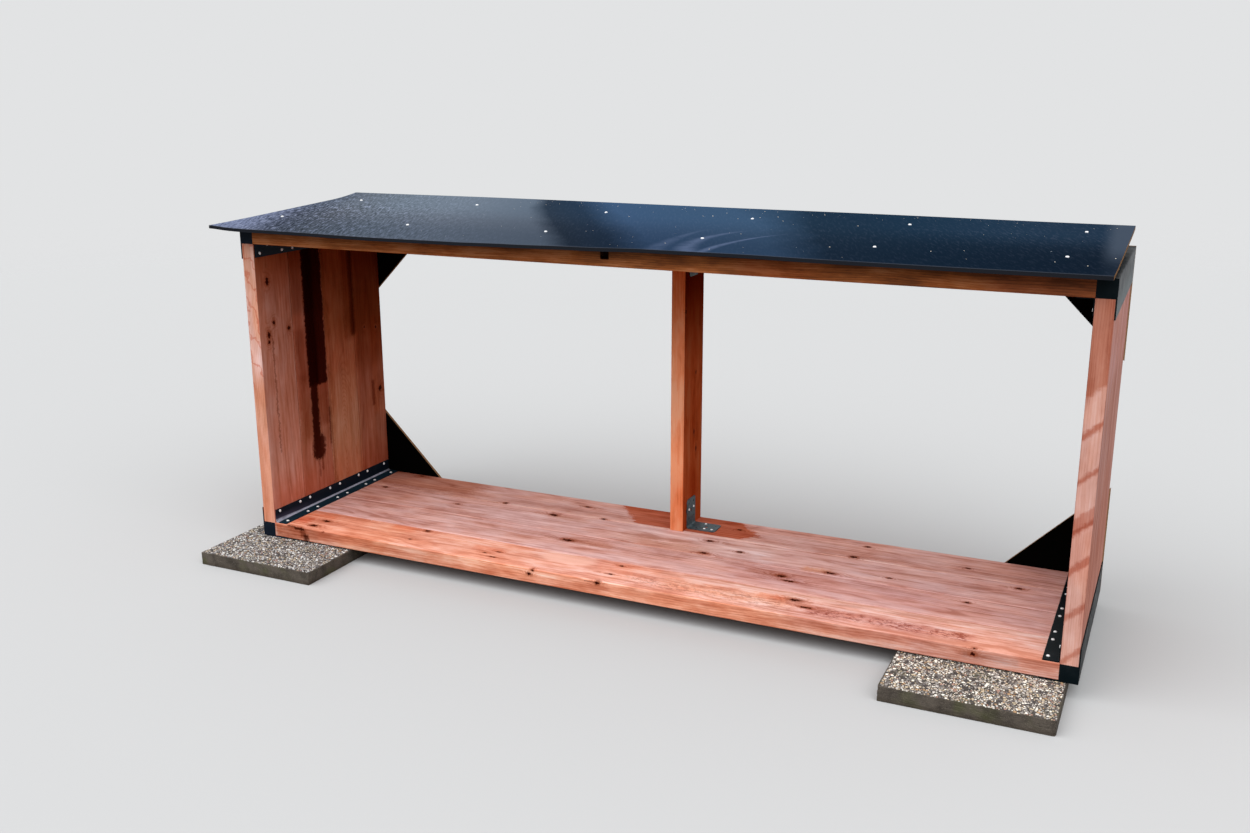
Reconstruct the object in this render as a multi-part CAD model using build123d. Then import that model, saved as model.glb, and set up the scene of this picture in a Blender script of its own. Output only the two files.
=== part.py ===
from build123d import *
import math
import os

# Log store: an open box of thick boards, held together by four black steel corner
# profiles, with a middle post, four gussets across the open back, a sloping plywood
# roof on tapered battens and four concrete pads.
# Millimetres. X runs along the front, Y from the front to the back, Z up.
# It is drawn from the frame's lower left front corner and moved at the end.

# Boards, all of one stock
board_t = 42.0
board_w = 148.5
board_gap = 2.0
board_count = 4
arris_r = 2.5

# Frame, over the steel
frame_w = 2400.0
frame_h = 950.0
frame_d = board_count * board_w + (board_count - 1) * board_gap

# Steel corner profiles
steel_t = 3.0
outer_flange_w = 90.0
bend_r = 2.0
core = steel_t + board_t

# Angles screwed to the inside of each corner
inner_flange_w = 40.0
inner_bend_r = 3.0
inner_inset = 5.0

# Brackets on the middle post
bracket_l = 90.0
bracket_w = 65.0
bracket_t = 2.5
bracket_bend_r = 4.0
bracket_end_r = 9.0
bracket_setback = 30.0
nail_hole_r = 2.5
nail_edge = 14.0
nail_pitch = 24.0
bolt_hole_r = 5.5

# Gussets
gusset_l = 300.0
gusset_t = 9.0

# Roof
roof_t = 9.0
roof_over_left = 58.0
roof_short_right = 8.0
roof_over_front = 60.0
roof_over_back = 39.0
roof_slope = 2.93
roof_lift = 3.6

# Tapered battens under the roof
batten_w = 45.0
batten_count = 6
batten_from_left = 42.0
batten_from_right = 116.0
batten_inset = 6.0

# Concrete pads
pad_size = 400.0
pad_t = 40.0
pad_arris = 4.0
pad_out_left = 75.0
pad_in_right = 25.0
pad_out_front = 195.0
pad_gap = 34.0

# Knot hole in the front edge of the top
knot_x = 1183.0
knot_w = 22.0
knot_h = 21.0
knot_deep = 16.0

inner_w = frame_w - 2 * core
inner_h = frame_h - 2 * core
top_under = frame_h - core
top_face = frame_h - steel_t
roof_l = frame_w + roof_over_left - roof_short_right
roof_d = (frame_d + roof_over_front + roof_over_back) / math.cos(math.radians(roof_slope))
rise = math.tan(math.radians(roof_slope))
batten_pitch = (frame_w - batten_from_left - batten_from_right) / (batten_count - 1)
corner_min = (Align.MIN, Align.MIN, Align.MIN)

parts = {}


def lengthwise_board():
    body = Box(inner_w, board_w, board_t, align=corner_min)
    return fillet(body.edges().filter_by(Axis.X), arris_r)


def upright_board():
    body = Box(board_t, board_w, inner_h, align=corner_min)
    return fillet(body.edges().filter_by(Axis.Z), arris_r)


def along_depth(section, length):
    return extrude(Plane.XZ * section, amount=length, dir=(0, 1, 0))


def angle_section(leg, thick, inside_r):
    outline = Polygon(
        (0, 0), (leg, 0), (leg, thick), (thick, thick), (thick, leg), (0, leg), align=None
    )
    inside = outline.vertices().sort_by_distance((thick, thick))[0]
    outline = fillet(inside, inside_r)
    heel = outline.vertices().sort_by_distance((0, 0))[0]
    return fillet(heel, inside_r + thick)


def corner_profile():
    # an outer angle with a square tube in its heel, closed at both ends
    outline = Polygon(
        (0, 0),
        (outer_flange_w, 0),
        (outer_flange_w, steel_t),
        (core, steel_t),
        (core, core),
        (steel_t, core),
        (steel_t, outer_flange_w),
        (0, outer_flange_w),
        align=None,
    )
    heel = outline.vertices().sort_by_distance((0, 0))[0]
    body = along_depth(fillet(heel, bend_r), frame_d)
    bore = core - 2 * steel_t
    hollow = Box(bore, frame_d - 2 * steel_t, bore, align=corner_min)
    return body - Pos(steel_t, steel_t, steel_t) * hollow


def inner_angle():
    section = angle_section(inner_flange_w, steel_t, inner_bend_r)
    return Pos(core, inner_inset, core) * along_depth(section, frame_d - 2 * inner_inset)


def gusset():
    section = Polygon((0, 0), (gusset_l, 0), (0, gusset_l), align=None)
    return Pos(0, frame_d, 0) * along_depth(section, gusset_t)


def post_bracket():
    section = angle_section(bracket_l, bracket_t, bracket_bend_r)
    body = along_depth(section, bracket_w)
    tips = body.edges().filter_by(Axis.Z).filter_by(lambda e: e.center().X > bracket_l / 2)
    tips += body.edges().filter_by(Axis.X).filter_by(lambda e: e.center().Z > bracket_l / 2)
    body = fillet(tips, bracket_end_r)
    nail = Cylinder(nail_hole_r, 6 * bracket_t)
    bolt = Cylinder(bolt_hole_r, 6 * bracket_t)
    upright = Rot(0, 90, 0)
    for row in range(3):
        out = bracket_l - nail_edge - row * nail_pitch
        for across in (nail_edge, bracket_w - nail_edge):
            body -= Pos(out, across, 0) * nail
            body -= Pos(0, across, out) * upright * nail
    middle = bracket_l - nail_edge - nail_pitch
    body -= Pos(middle, bracket_w / 2, 0) * bolt
    body -= Pos(0, bracket_w / 2, middle) * upright * bolt
    return body


def roof_underside(y):
    return frame_h + roof_lift + y * rise


def roof_plate():
    body = Box(roof_l, roof_d, roof_t, align=corner_min)
    front = -roof_over_front
    return Pos(-roof_over_left, front, roof_underside(front)) * Rot(roof_slope, 0, 0) * body


def roof_batten(left):
    # it stands on the steel leg where it reaches one, else on the top boards
    on_steel = left < outer_flange_w or left + batten_w > frame_w - outer_flange_w
    foot = frame_h if on_steel else top_face
    front = batten_inset
    back = frame_d - batten_inset
    side = Polygon(
        (front, foot),
        (back, foot),
        (back, roof_underside(back)),
        (front, roof_underside(front)),
        align=None,
    )
    return Pos(left, 0, 0) * extrude(Plane.YZ * side, amount=batten_w, dir=(1, 0, 0))


def pad():
    body = Box(pad_size, pad_size, pad_t, align=corner_min)
    top = body.faces().sort_by(Axis.Z)[-1]
    return chamfer(top.edges(), pad_arris)


def in_four_corners(name, piece):
    middle_x = Plane.YZ.offset(frame_w / 2)
    middle_z = Plane.XY.offset(frame_h / 2)
    right = mirror(piece, about=middle_x)
    parts[name + "_lower_left"] = piece
    parts[name + "_lower_right"] = right
    parts[name + "_upper_left"] = mirror(piece, about=middle_z)
    parts[name + "_upper_right"] = mirror(right, about=middle_z)


# Walls, floor and top
for i in range(board_count):
    y = i * (board_w + board_gap)
    number = str(i + 1)
    parts["left_wall_board_" + number] = Pos(steel_t, y, core) * upright_board()
    parts["right_wall_board_" + number] = Pos(frame_w - core, y, core) * upright_board()
    parts["floor_board_" + number] = Pos(core, y, steel_t) * lengthwise_board()
    parts["top_board_" + number] = Pos(core, y, top_under) * lengthwise_board()

knot = Box(knot_w, 2 * knot_deep, 2 * knot_h)
knot = chamfer(knot.edges().filter_by(Axis.Y), knot_w / 6)
parts["top_board_1"] -= Pos(knot_x, 0, top_face) * knot

# Steel
in_four_corners("corner_profile", corner_profile())
in_four_corners("inner_angle", inner_angle())

# Middle post and its two brackets
post_right = frame_w / 2 + board_t / 2
post_front = frame_d - board_w
parts["middle_post"] = Pos(post_right - board_t, post_front, core) * upright_board()
foot_bracket = Pos(post_right, post_front + bracket_setback, core) * post_bracket()
parts["post_bracket_foot"] = foot_bracket
parts["post_bracket_head"] = mirror(foot_bracket, about=Plane.XY.offset(frame_h / 2))

# Back gussets
in_four_corners("gusset", gusset())

# Roof
parts["roof_plate"] = roof_plate()
for i in range(batten_count):
    left = batten_from_left + i * batten_pitch - batten_w / 2
    parts["roof_batten_" + str(i + 1)] = roof_batten(left)

# Pads, two in a row under each end
pad_left_x = -pad_out_left
pad_right_x = frame_w - pad_in_right - pad_size
pad_back_y = pad_size + pad_gap - pad_out_front
parts["pad_front_left"] = Pos(pad_left_x, -pad_out_front, -pad_t) * pad()
parts["pad_front_right"] = Pos(pad_right_x, -pad_out_front, -pad_t) * pad()
parts["pad_back_left"] = Pos(pad_left_x, pad_back_y, -pad_t) * pad()
parts["pad_back_right"] = Pos(pad_right_x, pad_back_y, -pad_t) * pad()

# The origin goes to the middle of the whole, on the floor
whole = Compound(list(parts.values())).bounding_box()
shift = Pos(-whole.center().X, -whole.center().Y, -whole.min.Z)
print("moved by", -whole.center().X, -whole.center().Y, -whole.min.Z)
print("size", whole.size.X, whole.size.Y, whole.size.Z)

os.makedirs("parts", exist_ok=True)
for name, shape in parts.items():
    placed = shift * shape
    placed.label = name
    export_step(placed, "parts/" + name + ".step")
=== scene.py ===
import math
import random

import bmesh
import bpy
from mathutils import Matrix, Vector, noise


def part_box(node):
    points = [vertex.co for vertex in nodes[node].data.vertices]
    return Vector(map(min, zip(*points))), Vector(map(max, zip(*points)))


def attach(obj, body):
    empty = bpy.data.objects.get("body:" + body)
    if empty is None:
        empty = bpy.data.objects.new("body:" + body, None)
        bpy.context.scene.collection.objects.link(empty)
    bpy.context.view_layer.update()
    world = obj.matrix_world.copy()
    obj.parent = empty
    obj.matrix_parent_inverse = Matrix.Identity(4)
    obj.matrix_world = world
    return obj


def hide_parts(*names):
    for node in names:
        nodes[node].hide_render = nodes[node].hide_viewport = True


# Log store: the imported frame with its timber, steel, plywood and concrete finished,
# and the screws, the stones in the pads and the grit on the roof added.
# Lengths in the script are millimetres from the frame's lower left front corner,
# X along the front, Y to the back, Z up. at() turns them into the row frame's metres.

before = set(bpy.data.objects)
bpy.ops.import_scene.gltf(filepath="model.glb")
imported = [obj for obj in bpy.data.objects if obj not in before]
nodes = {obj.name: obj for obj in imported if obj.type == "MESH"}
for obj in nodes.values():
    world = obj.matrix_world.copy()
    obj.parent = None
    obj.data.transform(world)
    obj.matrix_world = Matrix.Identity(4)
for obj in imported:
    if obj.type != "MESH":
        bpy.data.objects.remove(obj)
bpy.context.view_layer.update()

MM = 0.001
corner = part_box("corner_profile_lower_left")[0]

CORNERS = ("lower_left", "lower_right", "upper_left", "upper_right")
PADS = ("pad_front_left", "pad_front_right", "pad_back_left", "pad_back_right")
BRACKETS = ("post_bracket_foot", "post_bracket_head")
BOARDS = range(1, 5)
BATTENS = range(1, 7)


def at(x, y, z):
    return corner + Vector((x, y, z)) * MM


def extent(node):
    """A node's lowest and highest corners, in millimetres from the frame's corner."""
    low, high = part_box(node)
    return (low - corner) / MM, (high - corner) / MM


frame_w = extent("corner_profile_upper_right")[1].x
core = extent("floor_board_1")[0].x
board_t = core - extent("floor_board_1")[0].z
board_pitch = extent("floor_board_2")[0].y
steel_t = core - board_t

# Roof
ROOF_SLOPE = math.radians(2.93)
ROOF_T = 9
roof_low, roof_high = extent("roof_plate")
roof_back_y = roof_high.y - ROOF_T * math.sin(ROOF_SLOPE)


def roof_top(y):
    return roof_high.z - (roof_back_y - y) * math.tan(ROOF_SLOPE)


# The roof is a little wavy: how far its front and back edges are raised, from left to right,
# and the lines at which these waves have died away
FRONT_WAVE = (
    (-58, 2), (20, -2.5), (60, -3.5), (200, -4), (500, -6.5), (760, -5.5),
    (930, -3), (1130, 0), (1330, 4), (1560, 4.8), (1800, 3), (2050, 2.5),
    (2392, 3.2),
)
FRONT_FADE_Y = 150
BACK_WAVE = ((-58, 7), (500, 8.5), (1500, 6), (2392, 2.5))
BACK_FADE_Y = 500


def height_along(wave, x):
    """A wave's height at x, smooth between its points."""
    for (left, before), (right, after) in zip(wave, wave[1:]):
        if x <= right:
            break
    share = min(1, max(0, (x - left) / (right - left)))
    share = share * share * (3 - 2 * share)
    return before + (after - before) * share


def roof_wave(x, y):
    """How far the roof is raised at a spot by the waves of its long edges."""
    front = max(0, (FRONT_FADE_Y - y) / (FRONT_FADE_Y - roof_low.y))
    back = max(0, (y - BACK_FADE_Y) / (roof_back_y - BACK_FADE_Y))
    return height_along(FRONT_WAVE, x) * front ** 2 + height_along(BACK_WAVE, x) * back ** 2


# Camera, fitted to the frame's corners in the photograph
CAMERA_PLACE = (2546, -2809.2, 1349.3)
CAMERA_TURN = math.radians(24.941)
CAMERA_DIP = math.radians(15.018)
CAMERA_ROLL = math.radians(-0.135)
CAMERA_LENS = 35.547
SENSOR_W = 36


def photo_camera():
    data = bpy.data.cameras.new("photo_camera")
    data.sensor_width = SENSOR_W
    data.lens = CAMERA_LENS
    camera = bpy.data.objects.new("photo_camera", data)
    bpy.context.scene.collection.objects.link(camera)
    turn = Matrix.Rotation(CAMERA_TURN, 4, "Z")
    dip = Matrix.Rotation(math.pi / 2 - CAMERA_DIP, 4, "X")
    roll = Matrix.Rotation(CAMERA_ROLL, 4, "Z")
    camera.matrix_world = Matrix.Translation(at(*CAMERA_PLACE)) @ turn @ dip @ roll
    bpy.context.scene.camera = camera


def paint(red, green, blue):
    """A colour as a screen shows it, 0 to 255, turned into the linear one that shaders take."""
    shares = (c / 255 for c in (red, green, blue))
    linear = [s / 12.92 if s <= 0.04045 else ((s + 0.055) / 1.055) ** 2.4 for s in shares]
    return (*linear, 1)


# Shader trees

class Value:
    """What a shader works out. Numbers of this kind are reckoned with like plain ones."""

    def __init__(self, bench, socket):
        self.bench = bench
        self.socket = socket

    def __add__(self, other):
        return self.bench.maths("ADD", self, other)

    def __sub__(self, other):
        return self.bench.maths("SUBTRACT", self, other)

    def __rsub__(self, other):
        return self.bench.maths("SUBTRACT", other, self)

    def __mul__(self, other):
        return self.bench.maths("MULTIPLY", self, other)

    def __truediv__(self, other):
        return self.bench.maths("DIVIDE", self, other)

    def __mod__(self, other):
        return self.bench.maths("MODULO", self, other)

    def __floor__(self):
        return self.bench.maths("FLOOR", self)

    def __abs__(self):
        return self.bench.maths("ABSOLUTE", self)

    __radd__ = __add__
    __rmul__ = __mul__


class Bench:
    """A node tree being built. A socket is given a plain value or another node's output.

    A material's bench also knows the place on the part, as a vector and as its x, y and z
    in spot. An effect's bench knows its results.
    """

    def __init__(self, tree):
        self.tree = tree

    def add(self, kind, wires=None, **settings):
        node = self.tree.nodes.new("ShaderNode" + kind)
        for name, value in settings.items():
            setattr(node, name, value)
        for socket, value in (wires or {}).items():
            self.join(value, node.inputs[socket])
        return node

    def join(self, value, socket):
        if isinstance(value, Value):
            value = value.socket
        if isinstance(value, bpy.types.NodeSocket):
            self.tree.links.new(value, socket)
        else:
            socket.default_value = value

    def get(self, output, kind, wires=None, **settings):
        """One output of a new node."""
        return Value(self, self.add(kind, wires, **settings).outputs[output])

    def give(self, **results):
        for name, value in results.items():
            self.join(value, self.results[name])
        return self.tree

    def maths(self, operation, a, b=0):
        return self.get(0, "Math", {0: a, 1: b}, operation=operation)

    def vector(self, operation, a, b=(0, 0, 0)):
        return self.get(0, "VectorMath", {0: a, 1: b}, operation=operation)

    def scaled(self, vector, factor):
        return self.get(0, "VectorMath", {0: vector, "Scale": factor}, operation="SCALE")

    def length(self, vector):
        return self.get("Value", "VectorMath", {0: vector}, operation="LENGTH")

    def ramp(self, value, start, end, low=0, high=1):
        """low where value is at start, high at end, and smooth between them."""
        wires = {"Value": value, "From Min": start, "From Max": end, "To Min": low, "To Max": high}
        return self.get(0, "MapRange", wires, interpolation_type="SMOOTHSTEP")

    def between(self, value, start, full, fading, end):
        """1 from full to fading, and 0 before start and after end."""
        return self.ramp(value, start, full) * self.ramp(value, end, fading)

    def split(self, vector):
        return [Value(self, output) for output in self.add("SeparateXYZ", {0: vector}).outputs]

    def bundle(self, x, y, z):
        return self.get(0, "CombineXYZ", {0: x, 1: y, 2: z})

    def normal(self):
        return self.split(self.get("Normal", "NewGeometry"))

    def cloud(self, size, detail=2, roughness=0.5, place=None, output=0):
        """Soft noise in patches of a size, which is one number or one for each axis."""
        sizes = size if isinstance(size, tuple) else (size,) * 3
        spot = self.vector("MULTIPLY", place or self.place, [1 / side for side in sizes])
        wires = {"Vector": spot, "Scale": 1, "Detail": detail, "Roughness": roughness}
        return self.get(output, "TexNoise", wires)

    def mix(self, share, a, b, how="MIX"):
        return self.get(2, "Mix", {0: share, 6: a, 7: b}, data_type="RGBA", blend_type=how)

    def coated(self, colour, *coats):
        """The colour under coats of paint, each (share, red, green, blue)."""
        for share, *shade in coats:
            colour = self.mix(share, colour, paint(*shade))
        return colour

    def tinted(self, colour, *tints):
        """The colour multiplied by tints, each (share, red, green, blue) with 1 for no change."""
        for share, *tint in tints:
            colour = self.mix(share, colour, (*tint, 1), "MULTIPLY")
        return colour

    def shaded(self, value, stops, blend="LINEAR"):
        """The colour for a value, through stops of (position, paint)."""
        node = self.add("ValToRGB", {0: value})
        elements = node.color_ramp.elements
        node.color_ramp.interpolation = blend
        while len(elements) < len(stops):
            elements.new(1)
        for element, (position, shade) in zip(elements, stops):
            element.position = position
            element.color = paint(*shade)
        return Value(self, node.outputs[0])

    def use(self, effect, **wires):
        """A shared effect's outputs by name."""
        node = self.add("Group", wires, node_tree=effect)
        return {output.name: Value(self, output) for output in node.outputs}


def new_effect(name, takes, gives):
    """An empty node group: its bench and its inputs. takes and gives list names by their kind."""
    tree = bpy.data.node_groups.new(name, "ShaderNodeTree")
    for way, kinds in (("INPUT", takes), ("OUTPUT", gives)):
        for kind, names in kinds.items():
            for socket in names.split():
                tree.interface.new_socket(socket, in_out=way, socket_type="NodeSocket" + kind)
    bench = Bench(tree)
    bench.results = tree.nodes.new("NodeGroupOutput").inputs
    given = {s.name: Value(bench, s) for s in tree.nodes.new("NodeGroupInput").outputs}
    return bench, given


def new_material(name):
    material = bpy.data.materials.new(name)
    material.use_nodes = True
    material.node_tree.nodes.clear()
    bench = Bench(material.node_tree)
    bench.material = material
    return bench


def new_finish(name):
    """A material that knows places in millimetres from the frame's lower left front corner."""
    bench = new_material(name)
    metres = bench.get("Object", "TexCoord")
    bench.place = bench.scaled(bench.vector("SUBTRACT", metres, tuple(corner)), 1 / MM)
    bench.spot = bench.split(bench.place)
    return bench


def finished(bench, colour, roughness, height=None, relief=0, **constants):
    """The material with its one Principled surface. relief is the height's depth in millimetres."""
    shader = bench.add("BsdfPrincipled", {"Base Color": colour, "Roughness": roughness})
    for socket, value in constants.items():
        bench.join(value, shader.inputs[socket.replace("_", " ")])
    if height is not None:
        bump = bench.add("Bump", {"Strength": 1, "Distance": relief * MM, "Height": height})
        bench.join(bump.outputs[0], shader.inputs["Normal"])
    bench.add("OutputMaterial", {"Surface": shader.outputs[0]})
    return bench.material


def dress(names, material):
    for name in names:
        slots = nodes[name].data.materials
        if len(slots):
            slots[0] = material
        else:
            slots.append(material)


# Effects that several materials share

def build_timber_grain():
    """Growth rings round a pith that lies beside each board, with fibres and streaks along it."""
    bench, given = new_effect(
        "timber_grain", {"Vector": "Grain", "Float": "Board Swirl Ring"},
        {"Float": "Latewood Fibre Streak Band Drift Hue"},
    )
    luck = bench.get("Color", "TexWhiteNoise", {"W": given["Board"]}, noise_dimensions="1D")
    chance = bench.split(luck)
    along, across, depth = bench.split(given["Grain"])
    sideways = across - (chance[0] * 150 + 0.5)
    down = depth + (chance[1] * 130 + 45)
    lean = (chance[2] - 0.5) * 0.03
    shift = bench.scaled(bench.bundle(*chance), 90)

    def stretched(long, wide, detail, roughness=0.5):
        spot = bench.vector("MULTIPLY", given["Grain"], (1 / long, 1 / wide, 1 / wide))
        return bench.cloud(1, detail, roughness, bench.vector("ADD", spot, shift))

    radius = bench.length(bench.bundle(sideways, down, 0))
    rings = radius + along * lean + stretched(420, 70, 2) * 34 + given["Swirl"]
    phase = bench.maths("FRACT", rings / given["Ring"])
    return bench.give(
        Latewood=bench.between(phase, 0.35, 0.86, 0.88, 1),
        Fibre=stretched(42, 1.9, 3, 0.65),
        Streak=stretched(260, 8, 4, 0.6),
        Band=stretched(800, 40, 3),
        Drift=stretched(110, 34, 5, 0.6),
        Hue=stretched(190, 60, 3, 0.6),
    )


def build_knot():
    """One knot: its dark core and brown halo, its tails along the grain, its push on the rings.

    The marks of the knots before it come in and go out again with its own added.
    """
    marks = "Core Halo Tail Swirl"
    bench, given = new_effect(
        "knot", {"Vector": "Place Centre Radii Reach", "Float": "Rough " + marks}, {"Float": marks},
    )
    away = bench.vector("SUBTRACT", given["Place"], given["Centre"])
    away = bench.vector("DIVIDE", away, given["Radii"])
    uneven = (given["Rough"] - 0.5) * 2.4
    plain = bench.length(away)
    distance = plain + uneven
    far = bench.length(bench.vector("DIVIDE", away, given["Reach"])) + uneven * 0.6
    return bench.give(
        Core=bench.maths("MAXIMUM", given["Core"], bench.ramp(distance, 1.1, 0.6)),
        Halo=bench.maths("MAXIMUM", given["Halo"], bench.ramp(distance, 2.4, 0.8)),
        Tail=bench.maths("MAXIMUM", given["Tail"], bench.ramp(far, 1.2, 0.2)),
        Swirl=given["Swirl"] + bench.ramp(plain, 4, 0.5, 0, 12),
    )


def build_stain():
    """A patch round a box with rounded corners, its edge ragged and soft."""
    bench, given = new_effect(
        "stain", {"Vector": "Place Centre Half Jitter", "Float": "Round Ragged Soft"},
        {"Float": "Mask"},
    )
    spot = bench.vector("ADD", given["Place"], bench.scaled(given["Jitter"], given["Ragged"]))
    away = bench.vector("ABSOLUTE", bench.vector("SUBTRACT", spot, given["Centre"]))
    beyond = bench.vector("MAXIMUM", bench.vector("SUBTRACT", away, given["Half"]))
    edge = bench.length(beyond) - given["Round"]
    return bench.give(Mask=bench.ramp(edge, given["Soft"], given["Soft"] * -1))


def build_specks():
    """Small round specks, one in some of the cells of a grid."""
    bench, given = new_effect(
        "specks", {"Vector": "Place", "Float": "Cell Share Size"}, {"Float": "Mask"},
    )
    spot = bench.vector("DIVIDE", given["Place"], bench.bundle(*[given["Cell"]] * 3))
    cells = bench.add("TexVoronoi", {"Vector": spot, "Scale": 1, "Randomness": 1}).outputs
    chance = bench.split(cells["Color"])
    kept = bench.maths("LESS_THAN", chance[0], given["Share"])
    size = given["Size"] * (chance[1] + 0.5)
    return bench.give(Mask=kept * bench.maths("LESS_THAN", cells["Distance"], size))


def build_plies():
    """The layers on a cut edge of plywood, light and dark by turns, counted through its thickness."""
    bench, given = new_effect(
        "plies", {"Vector": "Place", "Float": "Through Layers"}, {"Color": "Colour"},
    )
    dark = abs(math.floor(given["Through"] * given["Layers"])) % 2
    fibre = bench.cloud(3, 4, 0.6, given["Place"])
    colour = bench.mix(dark, paint(176, 140, 104), paint(118, 82, 56))
    patchy = bench.ramp(fibre, 0.35, 0.75, 0, 0.55)
    return bench.give(Colour=bench.coated(colour, (patchy, 92, 66, 48)))


timber_grain = build_timber_grain()
knot_effect = build_knot()
stain_effect = build_stain()
specks_effect = build_specks()
plies_effect = build_plies()


# Timber

RING_W = 5.6
KNOT_DARK, KNOT_BROWN = (54, 14, 8), (150, 74, 46)
SPECK_COLOUR = (240, 232, 222)
SPECK_CELL, SPECK_SIZE = 50, 0.03
GRAIN_AXES = {"x": (0, 1, 2), "y": (1, 0, 2), "z": (2, 1, 0)}
TAIL_L, TAIL_W = 6, 2.2
PIT_L, PIT_W = 17, 7
TONE_FROM, TONE_TO = 0.38, 0.62
PINKER = (0.96, 1.05, 1.14)
PITTED = (0.5, 0.3, 0.26)
FACE_HALF, WALL_HALF = 3, 8


def long_and_wide(axes, long, wide):
    """A size for each axis: long along the grain and wide across it."""
    sizes = [wide] * 3
    sizes[axes[0]] = long
    return tuple(sizes)


def oiled_timber(name, grain_axis, shades, knots=(), stains=(), streaks=(), swells=(), pits=(),
                 weather_and_painted_shade=None, seed=0, pitch=board_pitch, ring_share=0.05, specks=0,
                 contrast=1):
    """Reddish oiled softwood, in four shades from its darkest streaks to its palest.

    A patch is (centre, half, round, ragged, soft). stains holds a patch's values with a tint
    and a share, pits a patch's values with a share, streaks (patches, tint, share), knots
    (centre, radii) and swells (centre, radii, push). The function for weathering, which may
    also paint shade, takes the bench and the colour and gives the colour back.
    """
    bench = new_finish(name)
    place = bench.place
    axes = GRAIN_AXES[grain_axis]
    along, across, depth = (bench.spot[axis] for axis in axes)
    row = math.floor((across + 1) / pitch)
    rough = bench.cloud(6, 3, 0.6)
    jitter = bench.vector("SUBTRACT", bench.cloud(9, 4, 0.7, output="Color"), (0.5, 0.5, 0.5))
    reach = long_and_wide(axes, TAIL_L, TAIL_W)
    marks = {"Core": 0, "Halo": 0, "Tail": 0, "Swirl": 0}
    for centre, radii in knots:
        marks = bench.use(
            knot_effect, Place=place, Centre=centre, Radii=radii, Reach=reach, Rough=rough, **marks
        )
    swirl = marks["Swirl"]
    for centre, radii, push in swells:
        away = bench.vector("DIVIDE", bench.vector("SUBTRACT", place, centre), radii)
        swirl = swirl + bench.ramp(bench.length(away), 1, 0, 0, push)
    grain = bench.use(
        timber_grain, Grain=bench.bundle(along, across - row * pitch, depth), Board=row + seed,
        Swirl=swirl, Ring=RING_W,
    )
    tone = grain["Streak"] * 0.26 + grain["Band"] * 0.3 + grain["Drift"] * 0.44
    tone = tone + (grain["Fibre"] - 0.5) * 0.14 - grain["Latewood"] * ring_share
    tone = tone - marks["Tail"] * 0.08 + 0.35 * ring_share
    tone = bench.get(0, "MapRange", {"Value": tone, "From Min": TONE_FROM, "From Max": TONE_TO})
    tone = tone * contrast + (0.5 - 0.5 * contrast)
    colour = bench.shaded(tone, [(step / 3, shade) for step, shade in enumerate(shades)])
    colour = bench.tinted(colour, (bench.ramp(grain["Hue"], 0.4, 0.6, 0, 0.8), *PINKER))

    def patch(centre, half, rounding, ragged, soft):
        return bench.use(
            stain_effect, Place=place, Centre=centre, Half=half, Round=rounding,
            Jitter=jitter, Ragged=ragged, Soft=soft,
        )["Mask"]

    for *shape, tint, share in stains:
        colour = bench.tinted(colour, (patch(*shape) * share, *tint))
    if weather_and_painted_shade:
        colour = weather_and_painted_shade(bench, colour)
    for patches, tint, share in streaks:
        joined = 0
        for shape in patches:
            joined = bench.maths("MAXIMUM", joined, patch(*shape))
        colour = bench.tinted(colour, (joined * share, *tint))
    if pits:
        pocked = bench.cloud(long_and_wide(axes, PIT_L, PIT_W), 5, 0.75)
        clumps = bench.ramp(bench.cloud(30, 3, 0.6), 0.38, 0.52, 0.3, 1)
        for *shape, share in pits:
            mask = patch(*shape) * clumps * bench.ramp(pocked, 0.46, 0.54, 0, share)
            colour = bench.tinted(colour, (mask, *PITTED))
    if knots:
        browned = (marks["Halo"] * 0.72, *KNOT_BROWN)
        colour = bench.coated(colour, browned, (marks["Core"], *KNOT_DARK))
    if specks:
        mask = bench.use(specks_effect, Place=place, Cell=SPECK_CELL, Share=specks, Size=SPECK_SIZE)
        colour = bench.coated(colour, (mask["Mask"], *SPECK_COLOUR))
    roughness = bench.ramp(grain["Fibre"], 0.3, 0.7, 0.5, 0.68)
    height = grain["Fibre"] * 0.6 + grain["Latewood"] * 0.4 - marks["Core"] * 0.6
    return finished(bench, colour, roughness, height, relief=0.3, Specular_IOR_Level=0)


def flat_knots(*rows):
    """Knots on the floor: the middle along and in from the front, and the dark core's size."""
    return [((x, y, core), (length / 2, width / 2, board_t)) for x, y, length, width in rows]


def wall_knots(*rows):
    """Knots in the left wall: the middle in from the front and up, and the dark core's size."""
    return [((core, y, z), (board_t / 2, width / 2, height / 2)) for y, z, height, width in rows]


def on_floor(*rows):
    """Patches on the floor's top, with half their length, width and height after their middle."""
    return [((x, y, core), tuple(rest[:3]), *rest[3:]) for x, y, *rest in rows]


def on_front(*rows):
    """Patches on the front board's face, with half their length and height after their middle."""
    return [((x, 0, z), (half_x, FACE_HALF, half_z), *rest) for x, z, half_x, half_z, *rest in rows]


def on_wall(*rows):
    """Patches on the left wall's inside, with half their width and height after their middle."""
    return [((core, y, z), (WALL_HALF, half_y, half_z), *rest) for y, z, half_y, half_z, *rest in rows]


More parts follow.
